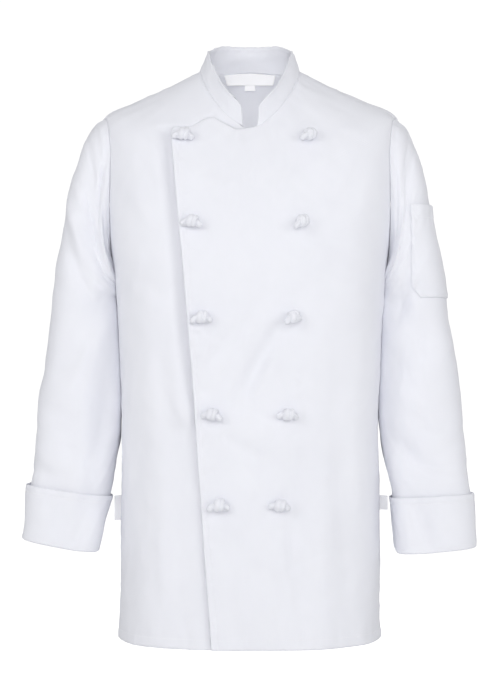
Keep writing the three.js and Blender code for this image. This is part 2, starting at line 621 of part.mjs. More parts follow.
const jacket = new THREE.Group();
jacket.add(clothMesh("back", backGeometry()));
jacket.add(clothMesh("right_front", frontGeometry(-1)));
jacket.add(clothMesh("left_front", frontGeometry(1)));
jacket.add(clothMesh("collar", collarGeometry()));
jacket.add(clothMesh("sleeve_left", sleeveGeometry(leftSleeveSections, 1)));
jacket.add(clothMesh("sleeve_right", sleeveGeometry(rightSleeveSections, -1)));
jacket.add(clothMesh("cuff_left", cuffGeometry(leftSleeveSections, 1)));
jacket.add(clothMesh("cuff_right", cuffGeometry(rightSleeveSections, -1)));
jacket.add(clothMesh("sleeve_pocket", pocketGeometry()));
addKnots(jacket);
for (const [name, tag] of Object.entries(SIDE_TAGS)) {
  jacket.add(clothMesh(name, sideTagGeometry(tag), TAPE_ROUGHNESS));
}
jacket.add(clothMesh("neck_label", hangingLabel(NECK_LABEL), TAPE_ROUGHNESS));
jacket.add(clothMesh("size_tab", hangingLabel(SIZE_TAB), TAPE_ROUGHNESS));

export default jacket;
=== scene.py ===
import math

import bpy
import numpy as np
from mathutils import Matrix


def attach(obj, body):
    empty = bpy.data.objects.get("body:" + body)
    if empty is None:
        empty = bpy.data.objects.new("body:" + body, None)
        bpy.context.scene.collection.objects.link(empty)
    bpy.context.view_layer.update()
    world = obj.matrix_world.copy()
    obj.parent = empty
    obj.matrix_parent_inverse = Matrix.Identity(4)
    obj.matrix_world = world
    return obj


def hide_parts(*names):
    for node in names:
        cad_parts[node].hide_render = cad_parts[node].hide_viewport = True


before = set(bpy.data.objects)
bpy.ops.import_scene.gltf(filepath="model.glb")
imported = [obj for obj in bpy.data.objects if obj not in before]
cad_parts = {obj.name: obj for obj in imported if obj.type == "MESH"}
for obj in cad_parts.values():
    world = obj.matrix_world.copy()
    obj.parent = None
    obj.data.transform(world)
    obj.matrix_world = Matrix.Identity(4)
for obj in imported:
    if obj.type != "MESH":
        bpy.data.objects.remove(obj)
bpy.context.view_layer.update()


# The back is one cut of white polyester and cotton twill, about 215 g to the square metre, from side seam to
# side seam and up to the shoulder seams and the back neck. It is cut flat, its lower edge is turned up and
# stitched, and it is sewn to the fronts inside out, so its seams show as fine grooves.
# Sizes are in millimetres. Sections of the body run from hem to neckline: heights of the ring at the side, in
# front and behind, half width, depth in front and behind, squareness, and how fast the ring leaves the height
# of its side in front and behind.
BODY_SECTIONS = [
    (-797, -798, -798, 184, 130, 121, 2.7, 2, 2),
    (-700, -703, -703, 183, 126, 117, 2.7, 2, 2),
    (-600, -604, -603, 182, 122, 113, 2.8, 2, 2),
    (-500, -505, -503, 181, 119, 110, 2.9, 2, 2),
    (-400, -406, -403, 184, 121, 112, 3, 2, 2),
    (-298, -312, -302, 190, 125, 117, 3, 2, 2),
    (-239, -262, -248, 198, 124, 120, 3, 2.2, 2.2),
    (-180, -217, -198, 205, 121, 120, 2.9, 2.6, 2.6),
    (-120, -180, -152, 210, 116, 116, 2.65, 3, 3),
    (-68, -154, -112, 207, 110, 109, 2.3, 3.6, 3.6),
    (-44, -129, -70, 162, 103, 98, 2.15, 3.2, 3.2),
    (-23, -108, -29, 116, 95, 82, 2.1, 2.4, 2.4),
    (0, -91, 9, 71, 85, 62, 2.1, 1.6, 1.6),
]
UNDERARM_ROW = 5
SHOULDER_ROW = 9
NECK_ROW = 12
ARMHOLE_ANGLE = 14
SHOULDER_SEAM_ANGLE = 8
CLOTH = 1.6
SEAM_GAP = 0.12
HEM = 13
CREASE_DEPTH = 2.2
GIRTH_RADIUS = 190
STITCH_PITCH = 3.2

# Largest folds, seen from the front: from x, z to x, z, half width, height above the cloth.
FRONT_FOLDS = [
    (0, -365, -52, -452, 15, -3),
    (28, -380, -10, -462, 15, -3.5),
    (-24, -502, 54, -530, 18, 3.5),
    (68, -624, 90, -668, 13, -3),
    (-138, -330, -132, -770, 20, 3),
    (-98, -510, -90, -790, 16, -4),
    (128, -545, 133, -795, 17, -3.5),
    (92, -640, 96, -800, 20, 3),
]
BACK_FOLDS = [
    (-120, -250, -100, -420, 18, -3),
    (118, -240, 96, -410, 18, -3),
    (-60, -470, -70, -800, 22, 4),
    (-14, -520, -20, -800, 18, -4),
    (48, -450, 56, -800, 24, 4),
    (104, -560, 110, -800, 17, -4),
    (-40, -120, 44, -126, 14, -2),
]

# Finer creases of the back: from x, z to x, z, bow to the side, half width, height.
BACK_CREASES = [
    (-150, -150, -96, -205, 8, 7, -1.5), (-158, -190, -110, -262, 10, 9, 1.6),
    (148, -160, 92, -226, -8, 8, -1.6), (156, -205, 104, -290, -10, 9, 1.4),
    (-70, -140, 66, -150, -6, 9, 1.1), (-52, -168, 30, -182, -4, 7, -0.9),
    (-128, -300, -60, -372, 9, 9, -1.5), (-60, -330, -8, -356, 5, 8, 1),
    (132, -330, 62, -396, -10, 9, -1.4), (40, -300, 88, -340, 6, 8, 1.2),
    (-146, -430, -138, -640, 6, 9, 1.6), (-110, -520, -104, -700, -5, 8, -1.2),
    (20, -560, 16, -760, 6, 9, 1.5), (84, -600, 90, -770, -4, 7, 1.3), (142, -470, 150, -690, 5, 9, -1.5),
    (-34, -420, -46, -540, 6, 9, -1.4),
]


def read_rows(table, place):
    """Reads the columns of a table at places between its rows, along smooth curves through them."""
    rows = np.asarray(table, float)
    last = len(rows) - 1
    place = np.asarray(place, float)
    row = np.clip(np.floor(place).astype(int), 0, last - 1)
    t = (place - row)[..., None]
    start = rows[row]
    end = rows[row + 1]
    before = np.where((row > 0)[..., None], rows[np.maximum(row - 1, 0)], 2 * start - end)
    after = np.where((row + 2 <= last)[..., None], rows[np.minimum(row + 2, last)], 2 * end - start)
    slope_start = (end - before) / 2
    slope_end = (after - start) / 2
    rise = end - start
    return start + t * (slope_start + t * (3 * rise - 2 * slope_start - slope_end
                                           + t * (slope_start + slope_end - 2 * rise)))


def ring_point(ring, angle):
    """A point on a squared-off oval seen from above, whose front and back leave the height of its side."""
    side, front, back, half_width, front_depth, back_depth, power, bend, back_bend = np.moveaxis(ring, -1, 0)
    c = np.cos(angle)
    s = np.sin(angle)
    depth = np.where(s > 0, front_depth, back_depth)
    level = np.where(s > 0, front, back)
    radius = ((abs(c) / half_width) ** power + (abs(s) / depth) ** power) ** (-1 / power)
    z = side + (level - side) * (1 - abs(c) ** np.where(s > 0, bend, back_bend))
    return np.stack([radius * c, -radius * s, z], -1)


def fold_height(folds, x, z):
    """Height of broad folds, each of which ends in a round."""
    rise = np.zeros_like(x)
    for from_x, from_z, to_x, to_z, half_width, height in folds:
        along_x = to_x - from_x
        along_z = to_z - from_z
        t = ((x - from_x) * along_x + (z - from_z) * along_z) / (along_x ** 2 + along_z ** 2)
        t = np.clip(t, 0, 1)
        distance = np.hypot(x - from_x - t * along_x, z - from_z - t * along_z)
        rise += height * np.exp(-(distance / half_width) ** 2)
    return rise


def crease_height(creases, x, z):
    """Height of finer creases: bowed lines that fade towards their ends and are steeper on one side."""
    rise = np.zeros_like(x)
    for from_x, from_z, to_x, to_z, bow, half_width, height in creases:
        along_x = to_x - from_x
        along_z = to_z - from_z
        length = math.hypot(along_x, along_z)
        t = ((x - from_x) * along_x + (z - from_z) * along_z) / length ** 2
        aside = ((x - from_x) * along_z - (z - from_z) * along_x) / length
        aside = aside - bow * (1 - np.clip(2 * t - 1, -1.4, 1.4) ** 2)
        width = np.where(aside > 0, half_width, 1.7 * half_width)
        fade = 1 / (1 + (abs(2 * t - 1) / 0.82) ** 6)
        rise += height * fade * np.exp(-(aside / width) ** 2)
    return rise


def ripple(a, b, length, seed, upright=1.0):
    """Soft uneven waves, height 1 or so, about as long as given. Upright below 1 stands their crests up."""
    rng = np.random.default_rng(seed)
    total = np.zeros_like(a + b)
    for _ in range(12):
        turn = rng.uniform(0, 2 * math.pi)
        number = 2 * math.pi / (length * rng.uniform(0.7, 1.7))
        phase = rng.uniform(0, 2 * math.pi)
        total += np.sin(number * (math.cos(turn) * a + upright * math.sin(turn) * b) + phase)
    return total / 2.5


def body_point(angle, place):
    """The body's outer face: angle 0 at the wearer's left side, 90 degrees in front; place is a row."""
    ring = read_rows(BODY_SECTIONS, place)
    point = ring_point(ring, angle)
    outward = np.stack([point[..., 0] / ring[..., 3] ** 2, point[..., 1] / ring[..., 4] ** 2,
                        np.zeros_like(angle)], -1)
    outward /= np.linalg.norm(outward, axis=-1, keepdims=True)
    x = point[..., 0]
    z = point[..., 2]
    folds = np.where(np.sin(angle) > 0, fold_height(FRONT_FOLDS, x, z), fold_height(BACK_FOLDS, x, z))
    return point + outward * (folds * abs(np.sin(angle)))[..., None]


def body_normal(angle, place):
    """The outward direction of the body's form at places on it."""
    at = body_point(angle, place)
    sideways = body_point(angle + 1e-3, place) - at
    way = np.where(place > 1, -1, 1)
    upward = way[..., None] * (body_point(angle, place + 1e-3 * way) - at)
    normal = np.cross(upward, sideways)
    return normal / np.linalg.norm(normal, axis=-1, keepdims=True)


def side_edge_angle(place, sign):
    """Angle of the edge of a front or the back: the side seam, then the armhole, then the shoulder seam."""
    half_seam = SEAM_GAP / 2 / read_rows(BODY_SECTIONS, place)[..., 3]
    middle = (UNDERARM_ROW + SHOULDER_ROW) / 2
    up_down = np.clip((place - middle) / (SHOULDER_ROW - middle), -1, 1)
    opening = ARMHOLE_ANGLE * np.sqrt(1 - up_down ** 2)
    seam = SHOULDER_SEAM_ANGLE * (1 + up_down) / 2
    return np.radians(seam + sign * opening) + sign * half_seam


def body_places(below, around, above):
    """Rows of the body's cloth, close together at both ends of the armhole."""
    low = np.linspace(0, UNDERARM_ROW, below + 1)
    turn = np.linspace(0, math.pi, around + 1)[1:]
    middle = UNDERARM_ROW + (SHOULDER_ROW - UNDERARM_ROW) * (1 - np.cos(turn)) / 2
    high = np.linspace(SHOULDER_ROW, NECK_ROW, above + 1)[1:]
    return np.concatenate([low, middle, high])


def normals_of(points, facing, closed=False):
    """Outward normals of a grid of points. Facing is -1 where its columns run the other way round."""
    if closed:
        across = np.roll(points, -1, 1) - np.roll(points, 1, 1)
    else:
        across = np.gradient(points, axis=1)
    along = np.gradient(points, axis=0)
    normal = np.cross(across, along) * facing
    return normal / np.linalg.norm(normal, axis=-1, keepdims=True)


def run_lengths(points, axis):
    """Distance along the cloth from the first row or column."""
    steps = np.linalg.norm(np.diff(points, axis=axis), axis=-1)
    start = np.zeros_like(np.take(steps, [0], axis=axis))
    return np.concatenate([start, np.cumsum(steps, axis=axis)], axis)


def stitched_band(distance, along, inset, seed):
    """Lift of a turned edge: thicker up to its line of stitches, drawn in and slightly puckered there."""
    band = 0.45 / (1 + np.exp((distance - inset) / 0.8))
    drawn = -0.5 * np.exp(-((distance - inset) / 1.5) ** 2)
    pucker = ripple(along, 0 * along, 13, seed) * np.exp(-((distance - inset) / (0.75 * inset + 3)) ** 2)
    return band + drawn + 0.26 * pucker


def seam_pucker(from_seam, along, seed):
    """Beside a sewn seam the cloth draws in a little and puckers unevenly."""
    drawn = -0.25 * np.exp(-(from_seam / 2) ** 2)
    return drawn + 0.3 * ripple(along, 0 * along, 15, seed) * np.exp(-((from_seam - 7) / 5) ** 2)


def settled(distance, reach=9):
    """Nothing at a sewn edge, where the next piece holds the cloth, and 1 well away from it."""
    return 1 - np.exp(-(distance / reach) ** 2)


def put_in_scene(name, data):
    """Adds an object with this data to the scene, at the world's origin."""
    added = bpy.data.objects.new(name, data)
    bpy.context.collection.objects.link(added)
    return added


def sew_cloth(name, material, points, facing, thickness=CLOTH, closed=False):
    """Makes a thin closed sheet with rounded edges from the grid of points of its outer face."""
    rows, columns = points.shape[:2]
    normal = normals_of(points, facing, closed)
    inner = points - normal * thickness
    middle = (points + inner) / 2
    grid = np.arange(rows * columns).reshape(rows, columns)
    cells = np.stack([grid[:-1, :-1], grid[:-1, 1:], grid[1:, 1:], grid[1:, :-1]], -1).reshape(-1, 4)
    if closed:
        last = np.stack([grid[:-1, -1], grid[:-1, 0], grid[1:, 0], grid[1:, -1]], -1)
        cells = np.concatenate([cells, last])
        loops = [grid[0], grid[-1][::-1]]
        away = [points[0] - points[1], (points[-1] - points[-2])[::-1]]
    else:
        loops = [np.concatenate([grid[0, :-1], grid[:-1, -1], grid[-1, :0:-1], grid[:0:-1, 0]])]
        away = [np.concatenate([
            (points[0] - points[1])[:-1], (points[:, -1] - points[:, -2])[:-1],
            (points[-1] - points[-2])[:0:-1], (points[:, 0] - points[:, 1])[:0:-1]])]
    count = rows * columns
    vertices = [points.reshape(-1, 3), inner.reshape(-1, 3)]
    faces = [cells, cells[:, ::-1] + count]
    uv_at = [grid.reshape(-1), grid.reshape(-1)]
    start = 2 * count
    for loop, out in zip(loops, away):
        out = out / np.linalg.norm(out, axis=-1, keepdims=True)
        vertices.append(middle.reshape(-1, 3)[loop] + out * thickness * 0.42)
        uv_at.append(loop)
        ring = start + np.arange(len(loop))
        following = np.roll(loop, -1)
        ring_following = np.roll(ring, -1)
        faces.append(np.stack([following, loop, ring, ring_following], -1))
        faces.append(np.stack([ring_following, ring, loop + count, following + count], -1))
        start += len(loop)
    faces = np.concatenate(faces)
    if facing < 0:
        faces = faces[:, ::-1]
    mesh = bpy.data.meshes.new(name)
    mesh.from_pydata((np.concatenate(vertices) * 0.001).tolist(), [], faces.tolist())
    across = run_lengths(points, 1).mean(0)
    along = run_lengths(points, 0).mean(1)
    lengthwise, crosswise = np.meshgrid(along, across, indexing="ij")
    uv = np.stack([crosswise, lengthwise], -1).reshape(-1, 2) * 0.001
    uv = uv[np.concatenate(uv_at)]
    corner = np.empty(len(mesh.loops), int)
    mesh.loops.foreach_get("vertex_index", corner)
    corner_uv = uv[corner].reshape(-1, 4, 2)
    if closed:
        total = 0.001 * (across[-1] + np.linalg.norm(points[:, 0] - points[:, -1], axis=-1).mean())
        wraps = corner_uv[..., 0].max(1) - corner_uv[..., 0].min(1) > total / 2
        low = corner_uv[..., 0] < total / 2
        corner_uv[..., 0] += total * (wraps[:, None] & low)
    layer = mesh.uv_layers.new(name="cloth")
    layer.data.foreach_set("uv", corner_uv.reshape(-1))
    mesh.polygons.foreach_set("use_smooth", np.ones(len(mesh.polygons), bool))
    mesh.validate()
    mesh.materials.append(material)
    piece = put_in_scene(name, mesh)
    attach(piece, "root")
    return piece


def linear(hex_colour):
    """An sRGB colour as Blender's linear values."""
    parts = [int(hex_colour[i:i + 2], 16) / 255 for i in (1, 3, 5)]
    return tuple(p / 12.92 if p <= 0.04045 else ((p + 0.055) / 1.055) ** 2.4 for p in parts) + (1,)


def add_node(tree, kind, inputs=(), **settings):
    """Adds a node with its settings, and with a value or a link on each named input."""
    node = tree.nodes.new(kind)
    for key, value in settings.items():
        setattr(node, key, value)
    for socket, value in inputs:
        if isinstance(value, bpy.types.NodeSocket):
            tree.links.new(value, node.inputs[socket])
        else:
            node.inputs[socket].default_value = value
    return node


def fabric(name, light, shade, roughness, rib, rib_height, rib_turn, coordinates="UV"):
    """A woven fabric: fine slanted ribs, slightly uneven yarn, and a faint change of tone from the mill."""
    material = bpy.data.materials.new(name)
    material.use_nodes = True
    tree = material.node_tree
    tree.nodes.clear()
    place = add_node(tree, "ShaderNodeTexCoord").outputs[coordinates]
    turned = add_node(tree, "ShaderNodeMapping", [("Vector", place), ("Rotation", (0, 0, rib_turn))])
    ribs = add_node(tree, "ShaderNodeTexWave", [
        ("Vector", turned.outputs[0]), ("Scale", 2 * math.pi / (20 * rib)), ("Distortion", 0.6),
        ("Detail", 1.0), ("Detail Scale", 2.0)], wave_type="BANDS", bands_direction="X")
    yarn = add_node(tree, "ShaderNodeTexNoise", [("Vector", place), ("Scale", 900.0), ("Detail", 2.0)])
    cloud = add_node(tree, "ShaderNodeTexNoise", [("Vector", place), ("Scale", 14.0), ("Detail", 4.0)])
    tone = add_node(tree, "ShaderNodeMix", [
        ("Factor", cloud.outputs["Fac"]), (6, linear(shade)), (7, linear(light))], data_type="RGBA")
    rough = add_node(tree, "ShaderNodeMapRange", [
        ("Value", yarn.outputs["Fac"]), ("To Min", roughness - 0.06), ("To Max", roughness + 0.06)])
    relief = add_node(tree, "ShaderNodeMath", [
        (0, ribs.outputs["Fac"]), (1, yarn.outputs["Fac"])], operation="ADD")
    bump = add_node(tree, "ShaderNodeBump", [
        ("Height", relief.outputs[0]), ("Strength", 0.35), ("Distance", rib_height)])
    shader = add_node(tree, "ShaderNodeBsdfPrincipled", [
        ("Base Color", tone.outputs["Result"]), ("Roughness", rough.outputs[0]), ("Normal", bump.outputs[0]),
        ("Specular IOR Level", 0.25), ("Sheen Weight", 0.08), ("Sheen Roughness", 0.5)])
    add_node(tree, "ShaderNodeOutputMaterial", [("Surface", shader.outputs[0])])
    return material


# Bleached polyester and cotton twill, woven and pressed: matt, cool white, almost without a visible weave.
# Its ribs are 0.6 mm apart in the real cloth and drawn 1.5 mm apart, so that they show close to.
twill = fabric("white_twill", "#EFF0F6", "#E9EAF1", 0.85, 0.0015, 0.00012, math.radians(58))

# Topstitching thread: white spun polyester, a little glossier than the twill, so that stitches catch light.
thread = fabric("white_topstitch_thread", "#F6F7FA", "#ECEDF2", 0.6, 0.0004, 0.00002, 0.0, "Object")


def at_distance(points, distance, inset):
    """The line on the cloth, one point for each column, where the distance from an edge has a given value."""
    line = []
    for j in range(points.shape[1]):
        order = np.argsort(distance[:, j])
        line.append([np.interp(inset, distance[order, j], points[order, j, k]) for k in range(3)])
    return np.array(line)


def sew_stitches(name, points, facing, distance, inset, closed=False, turned=False):
    """A row of stitches at a distance from an edge: beads of thread, 2.3 mm long, sunk in at both ends."""
    normals = normals_of(points, facing, closed)
    if turned:
        points, normals, distance = [grid.swapaxes(0, 1) for grid in (points, normals, distance)]
    line = at_distance(points, distance, inset)
    normals = at_distance(normals, distance, inset)
    step = np.linalg.norm(np.diff(line, axis=0), axis=-1)
    along = np.concatenate([[0], np.cumsum(step)])
    places = np.arange(STITCH_PITCH / 2, along[-1] - STITCH_PITCH / 2, STITCH_PITCH)
    centre = np.stack([np.interp(places, along, line[:, k]) for k in range(3)], -1)
    ahead = np.stack([np.interp(places + 0.5, along, line[:, k]) for k in range(3)], -1) - centre
    out = np.stack([np.interp(places, along, normals[:, k]) for k in range(3)], -1)
    ahead /= np.linalg.norm(ahead, axis=-1, keepdims=True)
    out /= np.linalg.norm(out, axis=-1, keepdims=True)
    aside = np.cross(ahead, out)
    turn = np.linspace(0, 2 * math.pi, 7)[:-1]
    rings = [(-1.15, 0.1, -0.25), (-0.6, 0.3, 0.02), (0.6, 0.3, 0.02), (1.15, 0.1, -0.25)]
    vertices = []
    for lengthwise, radius, height in rings:
        for angle in turn:
            vertices.append(centre + ahead * lengthwise + aside * radius * 1.1 * math.cos(angle)
                            + out * (height + radius * math.sin(angle)))
    vertices = np.stack(vertices, 1)
    faces = []
    for ring in range(3):
        for k in range(6):
            a = 6 * ring + k
            b = 6 * ring + (k + 1) % 6
            faces.append((a, b, b + 6, a + 6))
    faces.append((5, 4, 3, 2, 1, 0))
    faces.append((18, 19, 20, 21, 22, 23))
    every = [tuple(24 * n + corner for corner in face) for n in range(len(places)) for face in faces]
    mesh = bpy.data.meshes.new(name)
    mesh.from_pydata((vertices.reshape(-1, 3) * 0.001).tolist(), [], every)
    mesh.polygons.foreach_set("use_smooth", np.ones(len(mesh.polygons), bool))
    mesh.materials.append(thread)
    row = put_in_scene(name, mesh)
    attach(row, "root")
    return row


columns = np.linspace(0, 1, 121)
places = body_places(112, 62, 26)
place, across = np.meshgrid(places, columns, indexing="ij")
edge = side_edge_angle(place, -1)
angle = math.pi - edge + across * (math.pi + 2 * edge)
back_points = body_point(angle, place)
x = back_points[..., 0]
z = back_points[..., 2]
from_hem = run_lengths(back_points, 0)
sideways = run_lengths(back_points, 1)
from_seam = np.minimum(sideways, sideways[:, -1:] - sideways)
lift = CREASE_DEPTH * crease_height(BACK_CREASES, x, z) * abs(np.sin(angle))
girth = GIRTH_RADIUS * angle
lift += 0.8 * ripple(girth, z, 85, 11, 0.5) + 0.2 * ripple(girth, z, 26, 12)
lift *= settled(from_seam) * settled(from_hem[-1:] - from_hem)
lift += stitched_band(from_hem, sideways, HEM, 13)
lift += seam_pucker(from_seam, from_hem, 14)
back_points = back_points + body_normal(angle, place) * lift[..., None]
back = sew_cloth("back_panel", twill, back_points, -1)
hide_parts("back")
hem_stitches = sew_stitches("back_hem_stitches", back_points, -1, from_hem, HEM)


# The two fronts are cut alike from the same twill. The wearer's left one laps over the right one in a slanted
# free edge, turned in and stitched; the right one goes on below it and is held flat by the buttons. The free
# edge stands off the cloth below it down to the fourth button.
LAYER_GAP = 2.2
EDGE_LIFT = 2.4
EDGE_LIFT_WIDTH = 26
UNDER_FRONT_DIP = 22
UNDER_FRONT_RISE = 12
EDGE_STITCH = 8
# Height, and how far the free edge lies past the centre of the front, hem to corner.
FRONT_EDGE = np.array([
    (-798, 51), (-665, 61), (-540, 70), (-420, 78), (-300, 88), (-180, 101), (-93, 113)], float)
# The same for the lap's top edge, from the centre notch to the corner: distance past the centre, height.
LAP_TOP = np.array([(0, -91), (20, -94), (35, -84), (50, -75), (62, -78), (80, -88), (113, -91)], float)

# Finer creases of the fronts: those drawn between the buttons, from the armholes, and above the hem.
OVER_CREASES = [
    (52, -352, -18, -470, 6, 10, -1.6), (18, -340, -48, -430, -5, 8, 1.3),
    (-8, -352, -58, -420, 4, 7, -1.2), (40, -400, 4, -470, 5, 8, 1.4), (62, -478, 10, -500, -6, 9, 1.5),
    (-40, -500, 20, -540, 8, 8, -1.3), (52, -612, 88, -676, -10, 11, 1.2),
    (34, -628, 60, -700, -8, 11, -1.2), (-20, -620, 30, -690, 6, 10, 1.1), (70, -235, 138, -252, 6, 8, -1),
    (78, -250, 150, -282, 6, 9, 1), (150, -130, 112, -200, -8, 9, -1.2), (160, -170, 118, -240, -9, 9, 1.2),
    (-66, -372, -30, -380, 2, 5, -0.9), (60, -560, 74, -780, 6, 12, -1.6), (-10, -700, 4, -795, 4, 10, 1.3),
    (30, -690, 42, -795, -4, 9, -1.2), (150, -400, 152, -600, 4, 11, 1.2),
    (112, -420, 118, -640, -4, 10, -0.9),
]
UNDER_CREASES = [
    (-150, -120, -112, -190, 8, 9, -1.2), (-162, -165, -120, -236, 9, 9, 1.2),
    (-150, -290, -112, -330, 5, 9, -1), (-120, -380, -108, -520, 5, 10, -1.3),
    (-160, -430, -164, -640, -4, 10, -1.2), (-116, -560, -114, -740, 4, 9, 1.5),
    (-76, -600, -70, -780, 3, 8, -1.3), (-150, -640, -146, -790, 4, 9, 1.2),
    (-104, -460, -76, -500, 4, 7, 1.2),
]


def lap_angle(reach, place):
    """Angle on the body of a place that is a distance past the centre of the front, on a row."""
    ring = read_rows(BODY_SECTIONS, place)
    half_width = ring[..., 3]
    power = ring[..., 6]
    x = np.minimum(reach, 0.98 * half_width)
    depth = ring[..., 4] * (1 - (x / half_width) ** power) ** (1 / power)
    return math.pi - np.arctan2(depth, x)


def solve_rising(low, high, height_at):
    """Finds where a function that rises from low to high passes zero."""
    low = np.array(low, float)
    high = np.array(high, float)
    for _ in range(36):
        middle = (low + high) / 2
        below = height_at(middle) < 0
        low = np.where(below, middle, low)
        high = np.where(below, high, middle)
    return (low + high) / 2


def front_place(x, z):
    """Row and angle on the body of a point of the front, seen from the front."""
    row = solve_rising(0.0, float(NECK_ROW), lambda r: body_point(lap_angle(abs(x), r), r)[..., 2] - z)
    angle = lap_angle(abs(x), row)
    return row, angle if x < 0 else math.pi - angle


corner_row, _ = front_place(-FRONT_EDGE[-1, 1], LAP_TOP[-1, 1])


def front_angle(across, place):
    """Angle across a front: 0 at the side seam, 1 at the free edge."""
    low = np.minimum(place, corner_row)
    height = read_rows(BODY_SECTIONS, low)[..., 1]
    edge = lap_angle(np.interp(height, FRONT_EDGE[:, 0], FRONT_EDGE[:, 1]), low)
    side = side_edge_angle(place, 1)
    return side + (edge - side) * across


def above_lap_top(points):
    """How far above the lap's top edge a point of the front lies."""
    return points[..., 2] - np.interp(np.maximum(0, -points[..., 0]), LAP_TOP[:, 0], LAP_TOP[:, 1])


def front_top(across):
    """Row at which a front ends at the top: the neckline, and past the centre the lap's top edge."""
    solved = solve_rising(0 * across + SHOULDER_ROW, 0 * across + NECK_ROW,
                          lambda row: above_lap_top(body_point(front_angle(across, row), row)))
    return np.where(front_angle(across, 0 * across + NECK_ROW) < math.pi / 2, NECK_ROW, solved)


def past_free_edge(points):
    """How far inside the free edge a point of the front lies."""
    return points[..., 0] + np.interp(points[..., 2], FRONT_EDGE[:, 0], FRONT_EDGE[:, 1])


columns = np.concatenate([np.linspace(0, 0.9, 104), np.linspace(0.9, 1, 27)[1:]])
tops = front_top(columns)
fractions = body_places(118, 62, 26) / NECK_ROW
fraction, across = np.meshgrid(fractions, columns, indexing="ij")
place = fraction * tops[None, :]
angle = front_angle(across, place)
over_points = body_point(angle, place)
inside_edge = past_free_edge(over_points)
over_outward = body_normal(angle, place)
edge_lift = EDGE_LIFT * np.exp(-(inside_edge / EDGE_LIFT_WIDTH) ** 2)
over_points = over_points + over_outward * edge_lift[..., None]
x = over_points[..., 0]
z = over_points[..., 2]
from_hem = run_lengths(over_points, 0)
from_side = run_lengths(over_points, 1)
from_edge = from_side[:, -1:] - from_side
from_top = from_hem[-1:] - from_hem
lift = CREASE_DEPTH * crease_height(OVER_CREASES, x, z) * abs(np.sin(angle))
girth = GIRTH_RADIUS * angle
lift += 0.7 * ripple(girth, z, 85, 21, 0.6) + 0.2 * ripple(girth, z, 26, 22)
past_centre = x < -4
lift *= settled(from_side) * np.where(past_centre, 1, settled(from_top))
lift += stitched_band(from_hem, from_side, HEM, 23)
lift += stitched_band(from_edge, from_hem, EDGE_STITCH, 24)
# The edge's facing puckers where it is sewn down, most between the third and fifth buttons.
puckered = np.exp(-((z + 470) / 130) ** 2)
lift += 0.75 * puckered * ripple(from_hem, 0 * x, 15, 25) * np.exp(-((from_edge - 15) / 7) ** 2)
lift += 0.45 * puckered * ripple(from_hem, 0 * x, 17, 26) * np.exp(-((x - 62) / 6) ** 2)
standing = 1 / (1 + np.exp(-(z + 500) / 18)) / (1 + np.exp((z + 100) / 8))
lift += 2.2 * standing * np.exp(-(from_edge / 12) ** 2)
lift += seam_pucker(from_side, from_hem, 27)
over_points = over_points + over_outward * lift[..., None]
over_front = sew_cloth("over_front_panel", twill, over_points, -1)
over_from_edge = from_edge

angle = math.pi - front_angle(across, place)
under_points = body_point(angle, place)[:, ::-1]
under_outward = body_normal(angle, place)[:, ::-1]
angle = angle[:, ::-1]
inside_edge = past_free_edge(under_points)
dip = np.clip((inside_edge + UNDER_FRONT_DIP) / UNDER_FRONT_DIP, 0, 1)
dip = dip * dip * (3 - 2 * dip)
# Above the lap's top edge the under front rises again to meet the collar and the shoulder seam.
# Beyond the notch it does so closer to that edge.
past_notch = np.clip((-under_points[..., 0] - 46) / 18, 0, 1)
rise_start = -1.5 * past_notch
rise_width = UNDER_FRONT_RISE - 7 * past_notch
risen = np.clip((above_lap_top(under_points) - rise_start) / rise_width, 0, 1) * (under_points[..., 0] < 0)
dip = dip * (1 - risen * risen * (3 - 2 * risen))
under_points = under_points - under_outward * ((CLOTH + LAYER_GAP) * dip)[..., None]
x = under_points[..., 0]
z = under_points[..., 2]
from_hem = run_lengths(under_points, 0)
from_edge = run_lengths(under_points, 1)
from_side = from_edge[:, -1:] - from_edge
seen = 1 / (1 + np.exp((inside_edge + 6) / 3))
lift = CREASE_DEPTH * crease_height(UNDER_CREASES, x, z) * abs(np.sin(angle)) * seen
# Where it is covered it sinks with the over front's troughs, so that its edge doesn't press through.
covered = CREASE_DEPTH * crease_height(OVER_CREASES, x, z) * abs(np.sin(angle))
lift += np.minimum(covered, 0) * (1 - seen)
girth = GIRTH_RADIUS * angle
lift += (0.7 * ripple(girth, z, 85, 31, 0.6) + 0.2 * ripple(girth, z, 26, 32)) * seen
lift *= settled(from_side) * settled(from_hem[-1:] - from_hem)
lift += stitched_band(from_hem, from_side, HEM, 33)
lift += seam_pucker(from_side, from_hem, 37)
# The cloth below the free edge lies back from it, and swells up to it again beside the fourth button.
swell = np.exp(-((z + 480) / 22) ** 2)
hollow = 1 / (1 + np.exp(-(z + 498) / 12)) / (1 + np.exp((z + 108) / 8))
lift += -3.2 * hollow * (1 - 0.8 * swell) * np.exp(-((inside_edge + 5) / 12) ** 2)
lift += 2.2 * swell * np.exp(-((inside_edge + 9) / 7) ** 2)
under_points = under_points + under_outward * lift[..., None]
under_front = sew_cloth("under_front_panel", twill, under_points, -1)
for piece, node in ((over_front, "left_front"), (under_front, "right_front")):
    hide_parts(node)
over_rows = [
    sew_stitches("over_front_hem_stitches", over_points, -1, run_lengths(over_points, 0), HEM),
    sew_stitches("over_front_edge_stitches", over_points, -1, over_from_edge, EDGE_STITCH, turned=True),
]
under_row = sew_stitches("under_front_hem_stitches", under_points, -1, run_lengths(under_points, 0), HEM)


# The stand collar is a straight band of the same twill, double, about 40 mm high with rounded ends. It is
# sewn to the neckline, open at the centre front, and stitched round its edge.
COLLAR_CLOTH = 2.2
COLLAR_HALF_GAP = 9
COLLAR_CORNER_START = 0.78
COLLAR_CORNER_REACH = 6
COLLAR_STITCH = 4.5
COLLAR_TOP = np.array([29, -62, 45, 59.5, 88, 60, 2, 1.5, 6], float)

